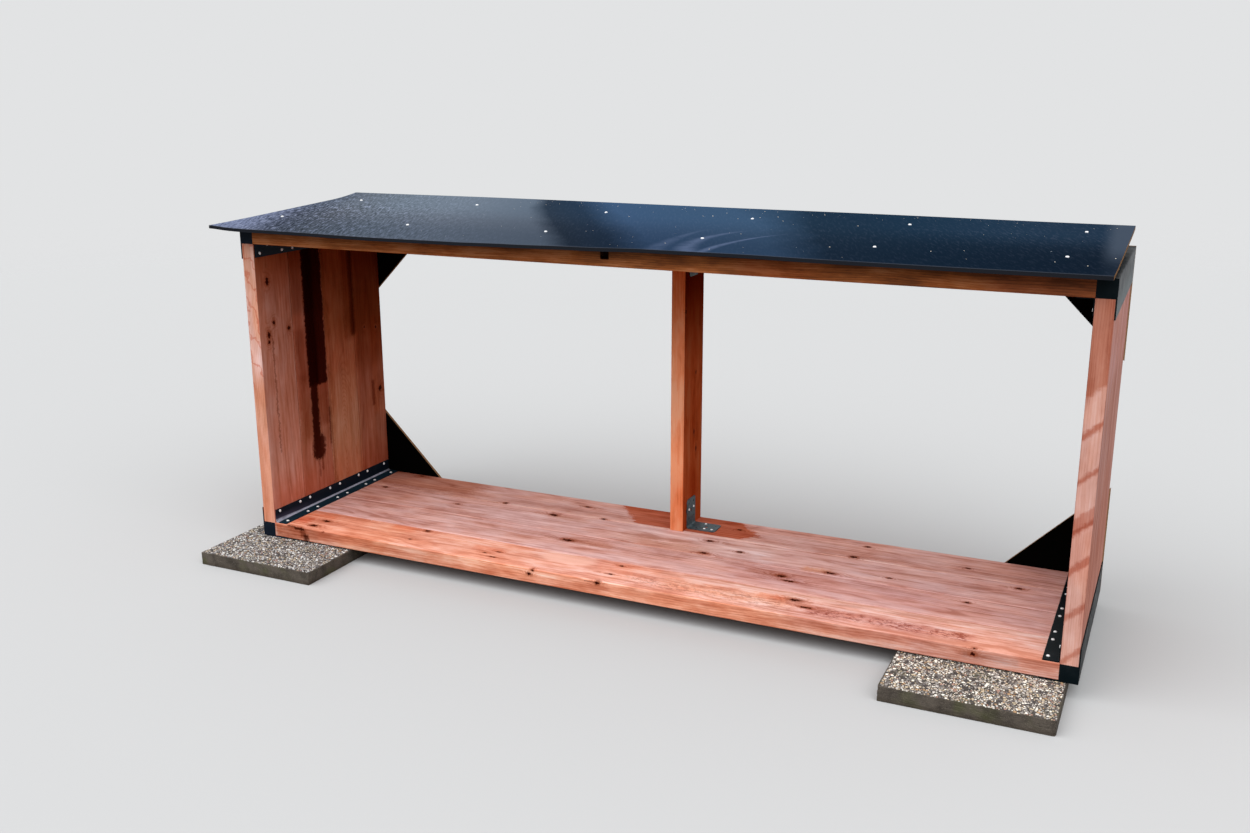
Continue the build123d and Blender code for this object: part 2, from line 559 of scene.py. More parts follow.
def front_floor_timber():
    """The front board, with its knots, cracks drawn as painted shade, and pits, and a face that was
    planed and is redder.
    """
    face_knots = [
        ((942, 0, 29), (7, 8, 4)), ((953, 0, 42), (4, 8, 3)), ((1154, 0, 38), (6, 9, 5)),
        ((2160, 0, 47), (6, 6, 3)), ((2158, 0, 30), (7, 9, 5)),
    ]
    knots = flat_knots(
        (181, 79, 26, 13), (169, 31, 30, 15), (516, 136, 19, 13), (506, 56, 10, 6),
        (801, 75, 16, 6), (803, 34, 22, 6), (766, 54, 12, 5), (1165, 58, 18, 7),
        (1171, 125, 12, 7.2), (1684, 99, 30, 17), (1724, 64, 30, 11),
    )
    red, orange, black = (0.92, 0.58, 0.42), (0.96, 0.8, 0.64), (0.2, 0.14, 0.12)
    stains = on_floor(
        (1870, 30, 150, 40, 8, 20, 60, 50, (0.86, 0.8, 0.84), 0.9),
        (196, 83, 240, 90, 30, 10, 60, 130, (0.94, 0.78, 0.62), 1),
        (636, 68, 240, 30, 30, 20, 60, 90, (0.98, 0.92, 0.84), 1),
        (1940, 54, 200, 12, 8, 12, 40, 14, (0.88, 0.76, 0.74), 0.9),
        (110, 62, 14, 14, 8, 12, 40, 12, (0.84, 0.44, 0.32), 0.8),
        (1897, 138, 600, 16, 8, 6, 20, 12, (0.97, 1.14, 1.26), 0.9),
        (1006, 106, 60, 6, 20, 24, 20, 34, (1.06, 1.26, 1.4), 1),
        (1437, 32, 230, 4, 8, 10, 26, 16, (1.06, 1.24, 1.36), 0.8),
        (136, 112, 40, 4, 8, 16, 50, 22, red, 0.8),
        (436, 128, 30, 4, 8, 14, 40, 18, red, 0.7),
        (766, 82, 40, 3, 8, 10, 40, 16, red, 0.6),
        (1156, 106, 44, 12, 8, 16, 40, 40, red, 0.45),
        (1622, 96, 30, 4, 8, 10, 40, 14, red, 0.8),
        (1497, 68, 160, 16, 8, 14, 40, 30, orange, 0.8),
    )
    face_stains = on_front(
        (652, 22, 54, 14, 8, 24, 18, (0.94, 0.84, 0.78), 0.8),
        (2198, 27, 60, 4, 3, 12, 10, (0.66, 0.78, 0.86), 0.7),
        (100, 22, 46, 18, 5, 20, 8, (0.74, 0.62, 0.54), 0.85),
        (104, 31, 38, 0.6, 1, 16, 2.5, (0.6, 0.48, 0.42), 0.8),
        (92, 17, 34, 0.4, 1, 14, 2.5, (0.62, 0.5, 0.44), 0.7),
        (188, 26, 12, 10, 6, 22, 9, (0.96, 1.12, 1.2), 0.8),
        (152, 27, 6, 9, 5, 16, 6, (0.42, 0.3, 0.24), 0.9),
        # Painted shade: these black lines stand for the dark insides of cracks
        (108, 43.5, 14, 0.8, 1.6, 12, 2, black, 0.9),
        (138, 40, 16, 1.6, 2.6, 14, 2.6, black, 1),
        (163, 12, 4, 8, 6, 18, 5, black, 1),
        (228, 42, 3, 1, 2, 12, 2, (0.5, 0.34, 0.3), 0.9),
        (49, 25, 1, 15, 1.5, 6, 1.5, (1, 1.5, 1.8), 0.8),
        # Painted shade: black lines for the dark insides of cracks by the knot
        (1140, 39, 24, 0.2, 1, 8, 1.2, black, 0.55),
        (1160, 44, 8, 0.5, 1, 8, 1.2, black, 0.55),
    )
    pits = on_floor(
        (1457, 56, 220, 14, 8, 20, 20, 26, 0.6), (1937, 54, 190, 10, 8, 12, 20, 10, 1),
    )

    def weather_and_painted_shade(bench, colour):
        """The front face is redder and streaky, greyer to the right, with painted shade low down."""
        x, y, z = bench.spot
        ramp = bench.ramp
        front = ramp(y, 2, 0.4)
        on_top = 1 - front
        lines = bench.cloud((80, math.inf, 4), 4, 0.6)
        broad = bench.cloud((150, math.inf, 26), 3, 0.6)
        colour = bench.tinted(
            colour,
            (on_top * ramp(x, 1360, 1560), 1.03, 1.2, 1.3),
            (front * ramp(x, 2200, 1500), 1.1, 1, 0.86),
            (front * ramp(x, 950, 350), 0.84, 0.83, 0.87),
            (front * ramp(x, 330, 240), 0.84, 0.82, 0.86),
            (front * ramp(x, 1500, 2200), 0.83, 0.86, 0.9),
            (front * ramp(broad, 0.52, 0.36), 0.86, 0.76, 0.72),
            (front * ramp(broad, 0.5, 0.64), 1.06, 1.16, 1.22),
            (front * ramp(lines, 0.52, 0.36, 0, 0.5), 0.76, 0.62, 0.56),
            (front * ramp(lines, 0.5, 0.64, 0, 0.45), 1.1, 1.2, 1.26),
            (front * bench.between(x, 640, 760, 1280, 1420), 1.1, 1.16, 1.2),
        )
        away = bench.vector("SUBTRACT", bench.place, (1006, 108, core))
        away = bench.length(bench.vector("DIVIDE", away, (104, 36, 30)))
        rubbed = on_top * ramp(away + broad * 0.3, 1.15, 0.75, 0, 0.75)
        colour = bench.coated(colour, (rubbed, 246, 188, 168))
        # Painted shade along the bottom edge of the front face
        return bench.tinted(colour, (ramp(z, 7, 2.5, 0, 0.7), 0.6, 0.42, 0.36))

    shades = ((210, 130, 104), (229, 153, 129), (240, 169, 146), (248, 192, 174))
    return oiled_timber(
        "front_floor_timber", "x", shades, knots + face_knots, stains + face_stains, pits=pits,
        weather_and_painted_shade=weather_and_painted_shade, seed=11, specks=0.1, contrast=1.5,
    )


WET_FRONT = 461


def floor_timber():
    """The other three floor boards, greyer than the front one and wet behind the post."""
    knots = flat_knots(
        (796, 423, 28, 16), (938, 244, 39, 18), (859, 535, 21, 10), (955, 454, 14, 9),
        (600, 460, 15, 12), (464, 387, 12, 8), (149, 435, 23, 12), (191, 587, 18, 10),
        (1325, 412, 23, 13), (1344, 314, 25, 14), (1436, 364, 18, 12), (1374, 538, 18, 10),
        (1599, 241, 30, 16), (1630, 216, 39, 10), (1716, 318, 30, 14), (1745, 463, 21, 16),
        (1762, 558, 18, 10), (1873, 350, 14, 9), (2097, 269, 16, 10), (2057, 511, 14, 9),
        (2207, 421, 18, 12),
    )
    rust = (0.84, 0.7, 0.6)
    stains = on_floor(
        (1145, 538, 1400, 70, 30, 6, 6, 4, (0.93, 0.88, 0.84), 1),
        (130, 552, 290, 60, 30, 30, 90, 60, (0.66, 0.45, 0.33), 1),
        (150, 376, 120, 50, 30, 20, 60, 60, (0.86, 0.7, 0.6), 1),
        (1300, 376, 200, 30, 30, 30, 60, 60, (1.08, 1.2, 1.2), 1),
        (1760, 225, 260, 30, 30, 40, 60, 60, (0.9, 0.83, 0.84), 1),
        (1746, 376, 260, 24, 30, 40, 60, 40, (1, 1.06, 1.1), 0.8),
        (1016, 247, 60, 6, 8, 12, 40, 16, rust, 0.9),
        (855, 411, 60, 8, 8, 10, 40, 16, rust, 0.7),
        (1556, 245, 50, 5, 8, 10, 40, 14, rust, 0.9),
        (1676, 322, 30, 5, 8, 10, 40, 12, (0.95, 0.76, 0.56), 0.9),
        (1246, 322, 100, 14, 8, 14, 60, 20, rust, 0.8),
        (495, 310, 90, 14, 8, 14, 60, 24, rust, 0.5),
        (696, 219, 120, 8, 8, 10, 40, 20, rust, 0.5),
    )

    def weather_and_painted_shade(bench, colour):
        """The middle of the last board has stayed wet."""
        x, y, z = bench.spot
        ramp = bench.ramp
        ragged = bench.cloud((30, 9, math.inf), 5, 0.7) - 0.5
        left = ramp(x + y * 0.75 - 1405 + ragged * 110, -5, 5)
        right = ramp(x + abs(y - 510) + ragged * 110, 1456, 1436)
        back = ramp(y, WET_FRONT - 1, WET_FRONT + 2)
        edge = ramp(abs(y - (WET_FRONT - 5)), 5, 2) * ramp(ragged, -0.1, 0.1, 0.3, 1)
        return bench.tinted(
            colour, (left * back * right, 0.74, 0.36, 0.23), (edge, 1.12, 1.22, 1.14),
        )

    shades = ((186, 122, 106), (216, 158, 146), (228, 176, 166), (242, 196, 188))
    return oiled_timber(
        "floor_timber", "x", shades, knots, stains, weather_and_painted_shade=weather_and_painted_shade, seed=3, specks=0.16,
        contrast=0.95, ring_share=0.07,
    )


STREAK_DARK = (0.17, 0.085, 0.075)
PLANER_PITCH = 4.6


def left_wall_timber():
    """Its inside has a dark wet streak, and its front edge is pale and wavy with planer marks."""
    knots = wall_knots(
        (49, 790, 22, 15), (66, 663, 16, 12), (131, 634, 13, 13), (40, 629, 23, 15),
        (38, 607, 14, 10), (567, 562, 13, 12), (504, 572, 12, 10), (573, 347, 20, 18),
    )
    stains = on_wall(
        (224, 480, 70, 520, 4, 6, 3, (0.8, 0.66, 0.57), 1),
        (224, 325, 62, 66, 8, 20, 18, (0.88, 0.88, 0.82), 1),
        (224, 770, 66, 90, 8, 10, 18, (0.78, 0.86, 0.88), 1),
        (180, 540, 12, 70, 12, 40, 18, (0.72, 0.6, 0.54), 1),
        (186, 370, 14, 90, 12, 30, 18, (0.76, 0.66, 0.58), 0.9),
        (270, 366, 14, 60, 10, 34, 12, (0.72, 0.58, 0.5), 1),
        (424, 720, 12, 160, 12, 30, 18, (0.7, 0.52, 0.4), 1),
        (535, 340, 3, 40, 4, 20, 5, (0.5, 0.34, 0.28), 0.9),
        (297, 284, 1.5, 60, 3, 20, 4, (0.42, 0.3, 0.24), 0.9),
        (444, 735, 4, 170, 8, 12, 8, (0.34, 0.2, 0.13), 0.9),
        (54, 438, 1.4, 180, 1, 26, 2.5, (0.45, 0.35, 0.3), 0.9),
        (306, 282, 1, 200, 3, 18, 4, (0.55, 0.42, 0.36), 0.7),
        (550, 433, 6, 160, 8, 20, 10, (1.15, 1.05, 0.9), 0.8),
        (332, 622, 10, 200, 10, 20, 12, (1.06, 1.1, 1.15), 0.6),
    )
    body, tail, blob = on_wall(
        (251, 675, 38, 238, 7, 24, 3), (228, 330, 11, 130, 6, 22, 4), (235, 228, 4, 16, 27, 40, 8),
    )
    fringe = [(*shape[:3], 34, 8) for shape in (body, tail)]
    drips = on_wall((232, 162, 1, 30, 3, 18, 5), (247, 170, 1, 22, 3, 18, 5))
    black_side = on_wall((232, 692, 14, 250, 8, 16, 14))
    damp = (0.45, 0.3, 0.24)
    streaks = [
        (fringe, damp, 0.7), (drips, damp, 0.9), ([body, tail, blob], STREAK_DARK, 1),
        (black_side, (0.4, 0.26, 0.26), 1),
    ]

    def weather_and_painted_shade(bench, colour):
        """Painted shade: darker to the back and upwards under the roof, except for the front edge."""
        x, y, z = bench.spot
        ramp, between = bench.ramp, bench.between
        inside = ramp(y, 0.5, 2.5)
        front = 1 - inside
        third = ramp(y, 300, 302)
        last = ramp(y, 430, 470)
        wander = bench.cloud((40, 46, 52), 3, 0.55)
        waves = z * (1 / 80) + x * (1 / 55) + wander * 2.6
        crest = abs(bench.maths("FRACT", waves) - 0.5)
        figure = ramp(crest, 0.16, 0.02) * ramp(z, 430, 500)
        tan = ramp(x, 14, 34) * between(z, 590, 640, 700, 790)
        beat = bench.maths("SINE", z * (2 * math.pi / PLANER_PITCH))
        planed = ramp(z, 500, 440) * ramp(beat, 0, 1, 0, 0.7)
        # Painted shade: the third and last boards and the upper inside are darkened, the low inside
        # and the first board's upper part lightened; the front edge has tints of its own
        return bench.tinted(
            colour,
            (third, 0.84, 0.68, 0.48),
            (last, 0.76, 0.6, 0.62),
            (last * ramp(z, 380, 500), 0.8, 0.76, 0.62),
            (last * between(z, 520, 590, 670, 740), 0.9, 0.8, 0.68),
            (ramp(y, 150, 148) * ramp(z, 300, 420), 1, 1.12, 1.16),
            (inside * ramp(z, 630, 890), 0.66, 0.4, 0.22),
            (inside * ramp(z, 460, 240), 1.1, 1.32, 1.42),
            (third * ramp(z, 500, 400), 1.12, 1.36, 1.5),
            (third * ramp(z, 500, 620), 0.76, 0.74, 0.62),
            (inside * ramp(z, 240, 80), 1, 0.72, 0.64),
            (front, 1.42, 1.56, 1.46),
            (front * ramp(z, 440, 540), 1.12, 1.45, 1.9),
            (front * figure, 0.86, 0.6, 0.54),
            (front * tan, 0.98, 0.82, 0.68),
            (front * between(z, 180, 260, 420, 480), 1.07, 1.14, 1.2),
            (front * between(z, 390, 440, 510, 560), 0.93, 0.86, 0.82),
            (front * ramp(z, 690, 790), 0.89, 0.8, 0.71),
            (front * planed, 0.92, 0.86, 0.84),
        )

    shades = ((170, 96, 72), (186, 112, 88), (195, 122, 100), (204, 136, 116))
    return oiled_timber(
        "left_wall_timber", "z", shades, knots, stains, streaks,
        swells=[((core, 370, 210), (60, 60, 330), 90)], weather_and_painted_shade=weather_and_painted_shade, seed=21,
        ring_share=0.07,
    )


# The bands on the right wall's front edge: height at its middle, half width and share
RISING_BANDS = (
    (611, 9, 1), (505, 7, 0.95), (401, 19, 0.75), (383, 7, 0.9),
    (292, 11, 0.9), (178, 9, 0.8), (68, 9, 0.8),
)
BAND_SLOPE = 0.9
BAND_SOFT = 6


def right_wall_timber():
    """Its front edge has darker bands that rise to the right, and is darker near its top."""
    middle_x = frame_w - steel_t - board_t / 2

    def weather_and_painted_shade(bench, colour):
        """Its outside is greyer, with a dark line along each seam."""
        x, y, z = bench.spot
        ramp, between = bench.ramp, bench.between
        front = ramp(y, 2.5, 0.5)
        outer = 1 - front
        wander = bench.cloud(14, 4, 0.65) - 0.5
        lean = z - x * BAND_SLOPE + BAND_SLOPE * middle_x + wander * 26
        for centre, half, share in RISING_BANDS:
            band = ramp(abs(lean - centre), half + BAND_SOFT, half - BAND_SOFT, 0, share)
            colour = bench.tinted(colour, (band * front, 0.7, 0.44, 0.36))
        row = (y + 1) % board_pitch
        seam = bench.maths("MAXIMUM", ramp(row, 9, 2), ramp(row, 141, 148))
        return bench.tinted(
            colour,
            (outer, 0.82, 0.8, 0.84),
            (outer * ramp(z, 540, 200), 0.97, 0.82, 0.74),
            (outer * ramp(z, 280, 160), 1.06, 1.12, 1.16),
            (outer * ramp(z, 630, 740), 1.14, 1.14, 1.18),
            (outer * seam * 0.7, 0.66, 0.5, 0.46),
            (outer * ramp(wander, 0, 0.2, 0, 0.2), 0.86, 0.9, 0.96),
            (front * between(z, 230, 280, 380, 430), 0.97, 0.86, 0.82),
            (front * ramp(lean, 690, 706), 0.76, 0.54, 0.44),
        )

    shades = ((198, 132, 114), (218, 158, 140), (228, 170, 153), (236, 186, 172))
    return oiled_timber("right_wall_timber", "z", shades, weather_and_painted_shade=weather_and_painted_shade, seed=31)


def top_timber():
    """The top, whose front edge is paler in its middle, with painted shade for a knot hole in it."""
    def weather_and_painted_shade(bench, colour):
        x, y, z = bench.spot
        return bench.tinted(
            colour,
            (bench.between(x, 950, 1150, 1460, 1560), 1.12, 1.2, 1.25),
            (bench.between(x, 1500, 1580, 1660, 1780), 0.93, 0.82, 0.82),
            (bench.ramp(x, 2080, 2180), 0.8, 0.76, 0.92),
        )

    shades = ((142, 81, 48), (173, 98, 55), (192, 108, 60), (212, 130, 82))
    # Painted shade: a near-black patch on the front edge stands in for the shade inside a knot hole
    hole = ((1183, 0, 936), (9, 24, 10), 3, 5, 2, (0.07, 0.06, 0.06), 1)
    return oiled_timber(
        "top_timber", "x", shades, stains=[hole], weather_and_painted_shade=weather_and_painted_shade, seed=41, contrast=1.5,
    )


def post_timber():
    """Painted shade: darker on its side than on its front edge, and darker towards its top."""
    post_low, post_high = extent("middle_post")
    right, front = post_high.x, post_low.y
    knots = [
        ((right, 460, 716), (8, 4, 9)), ((right, 544, 521), (20, 3, 5)),
        ((right, 534, 337), (20, 4, 9)), ((right, 552, 281), (20, 4, 8)),
        ((right, 480, 102), (20, 4, 9)),
    ]

    def weather_and_painted_shade(bench, colour):
        x, y, z = bench.spot
        # Painted shade: the side is darkened, and side and front darken towards the top under the roof
        side = bench.ramp(y, front + 0.5, front + 2.5)
        return bench.tinted(
            colour,
            (side, 0.54, 0.3, 0.18),
            (bench.ramp(z, 540, 860), 0.84, 0.6, 0.38),
            (bench.ramp(z, 280, 160), 0.9, 0.76, 0.68),
            (side * bench.ramp(z, 500, 850), 0.28, 0.14, 0.08),
        )

    shades = ((222, 122, 76), (242, 146, 99), (252, 158, 112), (255, 178, 136))
    return oiled_timber(
        "post_timber", "z", shades, knots, weather_and_painted_shade=weather_and_painted_shade, seed=51, contrast=1.4,
    )


def batten_timber():
    pitch = extent("roof_batten_2")[0].x - extent("roof_batten_1")[0].x
    shades = ((76, 46, 32), (90, 58, 42), (106, 72, 52), (120, 84, 62))
    return oiled_timber("batten_timber", "y", shades, seed=61, pitch=pitch)


# Steel, plywood and concrete

# Where the painted highlight along the lower left inner bend lies, and its width
BEND_OFF, BEND_SHEEN_W = 1.5, 5.5


def black_steel():
    """Powder-coated steel, dusty in places, with painted sheen and painted shade in two corners."""
    bench = new_finish("black_steel")
    x, y, z = bench.spot
    ramp = bench.ramp
    dust = bench.cloud(60, 5, 0.6)
    colour = bench.mix(ramp(x, 800, 2000), paint(19, 27, 38), paint(10, 19, 23))
    colour = bench.coated(colour, (ramp(dust, 0.45, 0.8, 0, 0.2), 56, 62, 66))
    # Painted shade and reflection on the outer face at the upper right: near black just under the
    # roof, grey-blue lower down
    outside = ramp(bench.normal()[0], 0.5, 0.8) * ramp(x, frame_w - 12, frame_w - 6)
    outside = outside * ramp(z, 500, 700) * ramp(dust, 0.3, 0.7, 0.4, 1)
    lit = bench.mix(ramp(z, 932, 872), paint(20, 30, 38), paint(92, 102, 106))
    colour = bench.mix(outside, colour, lit)
    # Painted highlight and sheen in the lower left inner angle: a purple-grey sheen low on the wall
    # leg, a teal reflection on the floor leg and a pale highlight along the bend, broken into patches
    inner = ramp(x, core - 1, core) * ramp(x, 120, 100) * ramp(z, 120, 100)
    off_x, off_z = x - (core + steel_t + BEND_OFF), z - (core + steel_t)
    heel = bench.length(bench.bundle(off_x, 0, off_z)) / ramp(y, 140, 0, 1, 1.8)
    band = ramp(heel, BEND_SHEEN_W, 0.45 * BEND_SHEEN_W)
    patchy = ramp(bench.cloud(26, 3), 0.25, 0.6, 0.65, 1)
    colour = bench.coated(
        colour,
        (inner * ramp(z, 74, 54) * ramp(y, 260, 20), 62, 58, 76),
        (inner * ramp(x, 54, 58) * ramp(z, 60, 52), 20, 42, 54),
        (inner * band * patchy, 172, 172, 188),
    )
    roughness = ramp(dust, 0.3, 0.75, 0.34, 0.5)
    return finished(bench, colour, roughness, bench.cloud(1.8), 0.1, Specular_IOR_Level=0.04)


def zinc_plate():
    """Galvanised plate: grey spangles of slightly different shade, with painted deep shade under the
    top.
    """
    bench = new_finish("zinc_plate")
    x, y, z = bench.spot
    cells = {"Vector": bench.scaled(bench.place, 1 / 7), "Scale": 1}
    shade = bench.split(bench.get("Color", "TexVoronoi", cells))[0]
    # Painted shade: high up, on the head bracket under the top, the zinc is darkened to near black and
    # made less metallic
    high = bench.ramp(z, 400, 700)
    colour = bench.mix(shade, paint(50, 66, 72), paint(92, 106, 112))
    colour = bench.tinted(colour, (high, 0.12, 0.12, 0.12))
    roughness = bench.ramp(shade, 0, 1, 0.42, 0.56)
    metal = bench.ramp(high, 0, 1, 0.3, 0)
    return finished(bench, colour, roughness, Metallic=metal, Specular_IOR_Level=0.2)


def bright_steel():
    """Screw heads."""
    bench = new_finish("bright_steel")
    brushed = bench.cloud(1.5)
    colour = bench.mix(brushed, paint(246, 248, 252), paint(255, 255, 255))
    return finished(bench, colour, bench.ramp(brushed, 0.3, 0.7, 0.22, 0.36))


# The film's colour, which is mostly painted reflection, changes along lines that lean back to the
# left: from left to right
FILM_LEAN, FILM_EXTRA_LEAN = 0.4, 0.27
FILM_FROM, FILM_TO = -100, 2500
FILM_SHADES = (
    (-100, (114, 124, 154)), (40, (96, 104, 128)), (125, (62, 68, 82)),
    (250, (78, 83, 92)), (430, (86, 94, 105)), (640, (88, 96, 108)),
    (1004, (75, 84, 97)), (1080, (31, 41, 54)), (1205, (26, 40, 57)),
    (1320, (45, 65, 91)), (1620, (44, 64, 87)), (1770, (20, 36, 52)),
    (2050, (14, 31, 47)), (2460, (13, 26, 40)),
)
FILM_LIGHT, FILM_DARK = (150, 158, 184), (16, 22, 32)
TICK_L, TICK_W = 42, 6.5
# The cloth's arcs: the middle's place, the radius, half the width and the share
WIPES = (
    (1975, 105, 652, 28, 0.32), (1692, 100, 304, 32, 0.6),
    (1870, -5, 406, 15, 0.7),
)
PLY_LAYERS = 7


def film_shades(bench):
    """The film's colour, mostly painted reflection, with fine light and dark ticks strongest on its
    left part.
    """
    x, y, z = bench.spot
    ramp = bench.ramp
    lean = bench.between(x, 300, 800, 1100, 1500) * FILM_EXTRA_LEAN + FILM_LEAN
    leaning = x + y * lean + (bench.cloud(120, 4, 0.55) - 0.5) * 60
    reach = FILM_TO - FILM_FROM
    stops = [((spot - FILM_FROM) / reach, shade) for spot, shade in FILM_SHADES]
    colour = bench.shaded((leaning - FILM_FROM) / reach, stops)
    leftness = ramp(leaning, 980, 80, 0.05, 1) * ramp(y, 580, 320, 0.55, 1)
    leaned = bench.bundle(x + y * FILM_LEAN, y, 0)
    ticks = bench.cloud((TICK_W, TICK_L, math.inf), 3, 0.75, leaned)
    colour = bench.coated(
        colour,
        (ramp(ticks, 0.5, 0.66, 0, 0.6) * leftness, *FILM_LIGHT),
        (ramp(ticks, 0.5, 0.36, 0, 0.7) * leftness, *FILM_DARK),
    )
    # Painted reflection: darker near the front, paler towards the back and much paler at the
    # right-hand back
    return bench.tinted(
        colour,
        (ramp(y, 350, 0) * ramp(leaning, 20, 230), 0.66, 0.7, 0.74),
        (ramp(y, 200, 500), 1.22, 1.28, 1.28),
        (ramp(y, 180, 480) * ramp(leaning, 1800, 2450), 2, 1.8, 1.7),
    )


def film_wipes(bench, colour):
    """Three pale arcs left by a cloth, broad at the front edge and narrow at their tips."""
    x, y, z = bench.spot
    ramp = bench.ramp
    taper = ramp(y, 300, -20, 0.3, 1)
    fade = ramp(y, 320, 200) * ramp(x, 1640, 1500)
    fade = fade * ramp(bench.cloud(40, 3, 0.6), 0.3, 0.55, 0.5, 1)
    for centre_x, centre_y, radius, width, share in WIPES:
        away = bench.length(bench.bundle(x - centre_x, y - centre_y, 0))
        arc = ramp(abs(away - radius) / taper, 1.3 * width, 0, 0, share)
        colour = bench.coated(colour, (arc * fade, 84, 98, 126))
    return colour


def film_edges(bench, colour):
    """The raw layers of the cut ends and the dull long edges."""
    x, y, z = bench.spot
    depth = roof_top(0) + y * math.tan(ROOF_SLOPE) - z
    layers = bench.use(
        plies_effect, Place=bench.place, Through=depth / ROOF_T, Layers=PLY_LAYERS,
    )
    normal = bench.normal()
    colour = bench.mix(bench.ramp(abs(normal[0]), 0.4, 0.6), colour, layers["Colour"])
    return bench.coated(colour, (bench.ramp(abs(normal[1]), 0.4, 0.6), 36, 38, 44))


def roof_film():
    """Blue-black filmed plywood with raw cut ends, its colour mostly painted reflection."""
    bench = new_finish("roof_film")
    x, y, z = bench.spot
    ramp = bench.ramp
    dust = bench.use(specks_effect, Place=bench.place, Cell=36, Share=0.1, Size=0.035)["Mask"]
    # Painted reflection at the right end and a painted highlight along the front edge; the pale specks
    # are real dust
    right_end = ramp(x + y * 0.05, 2345, 2388) * ramp(y, 20, 330, 0.1, 0.9)
    colour = bench.coated(
        film_wipes(bench, film_shades(bench)),
        (ramp(y, roof_low.y + 14, roof_low.y, 0, 0.5), 74, 78, 86),
        (right_end, 60, 70, 84),
        (dust * 0.6, 188, 196, 204),
    )
    return finished(
        bench, film_edges(bench, colour), 0.5, bench.cloud(2.6, 3, 0.7), 0.08,
        Coat_Weight=0.01, Coat_Roughness=0.22, Specular_IOR_Level=0,
    )


def pale_grit():
    bench = new_finish("pale_grit")
    colour = bench.mix(bench.cloud(40), paint(214, 200, 178), paint(244, 240, 232))
    return finished(bench, colour, 0.8, Specular_IOR_Level=0.1)


def gusset_film():
    """The same plywood, matt, with its raw layers along the cut edges."""
    bench = new_finish("gusset_film")
    x, y, z = bench.spot
    grain = bench.cloud(4, 3, 0.6)
    low, high = extent("gusset_lower_left")
    through = (y - low.y) / (high.y - low.y)
    layers = bench.use(plies_effect, Place=bench.place, Through=through, Layers=PLY_LAYERS)
    colour = bench.mix(bench.ramp(grain, 0.4, 0.8, 0, 0.3), paint(5, 5, 4), paint(14, 14, 13))
    steel_x = frame_w / 2 - steel_t
    rim = bench.ramp(abs(x - frame_w / 2), steel_x - 0.5, steel_x)
    face = bench.ramp(abs(bench.normal()[1]), 0.4, 0.6) * (1 - rim)
    colour = bench.mix(face, layers["Colour"], colour)
    return finished(bench, colour, 0.6, grain, 0.1, Specular_IOR_Level=0)


def pad_mortar():
    """The cement round the stones: dark on the sides, darker towards the bottom, with green growth low
    down.
    """
    bench = new_finish("pad_mortar")
    x, y, z = bench.spot
    ramp = bench.ramp
    grit = bench.cloud(2.2, 5, 0.7)
    patches = bench.cloud(45, 4, 0.6)
    colour = bench.coated(
        bench.mix(ramp(patches, 0.35, 0.7), paint(94, 86, 78), paint(60, 54, 48)),
        (ramp(grit, 0.5, 0.72, 0, 0.5), 142, 132, 118),
        (ramp(bench.cloud(70, 3), 0.5, 0.75, 0, 0.55), 84, 88, 50),
        (ramp(z, -22, -40, 0, 0.5), 52, 42, 32),
    )
    return finished(bench, colour, 0.85, grit, 0.9, Specular_IOR_Level=0.3)


PEBBLE_SHADES = (
    (0.00, (60, 58, 62)), (0.14, (108, 104, 106)), (0.28, (150, 146, 146)),
    (0.42, (184, 174, 166)), (0.56, (202, 186, 164)), (0.66, (176, 144, 112)),
    (0.7, (166, 132, 122)), (0.75, (206, 202, 202)), (0.88, (248, 246, 242)),
)
STONE_TONE = "stone_tone"


def pad_pebbles():
    """Washed stones, each with a shade of its own."""
    bench = new_finish("pad_pebbles")
    x, y, z = bench.spot
    tone = bench.get("Fac", "Attribute", attribute_name=STONE_TONE)
    mottle = bench.cloud(2, 4, 0.6)
    colour = bench.tinted(
        bench.shaded(tone, PEBBLE_SHADES, "CONSTANT"),
        (1, 0.86, 0.87, 0.88),
        (bench.ramp(x, 600, 1800), 1.3, 1.26, 1.16),
    )
    colour = bench.coated(colour, (bench.ramp(mottle, 0.35, 0.7, 0, 0.3), 110, 98, 88))
    return finished(bench, colour, 0.6, mottle, 0.25, Specular_IOR_Level=0.4)


# Pieces

def make_object(name, mesh, material):
    """Turns a bmesh into a named object of one material."""
    data = bpy.data.meshes.new(name)
    mesh.to_mesh(data)
    mesh.free()
    data.materials.append(material)
    made = bpy.data.objects.new(name, data)
    bpy.context.scene.collection.objects.link(made)
    return made


def make_piece(name, mesh, material):
    """The same for a piece that rides on the store."""
    piece = make_object(name, mesh, material)
    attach(piece, "root")
    return piece


def angles(count):
    return [2 * math.pi * step / count for step in range(count)]


def skin(mesh, rings):
    """Faces between closed rings of corners."""
    for lower, upper in zip(rings, rings[1:]):
        for step in range(len(lower)):
            mesh.faces.new((lower[step - 1], lower[step], upper[step], upper[step - 1]))


# Screws

LOBES = 6
SCREW_SIDES = 24
# The rings of a head, from its rim to the bottom of its recess: shares of the radius and of
# the rise, and how deep the lobes are
HEAD_RINGS = (
    (1, 0, 0), (1, 0.4, 0), (0.88, 0.8, 0), (0.62, 1, 0), (0.4, 1, 0.14),
    (0.368, 0.3, 0.14),
)
# The radius and the rise of the heads
ROOF_HEAD, ANGLE_HEAD, BRACKET_HEAD, GUSSET_HEAD = (4.4, 3), (4.3, 2.4), (3.8, 1.6), (4, 1.6)


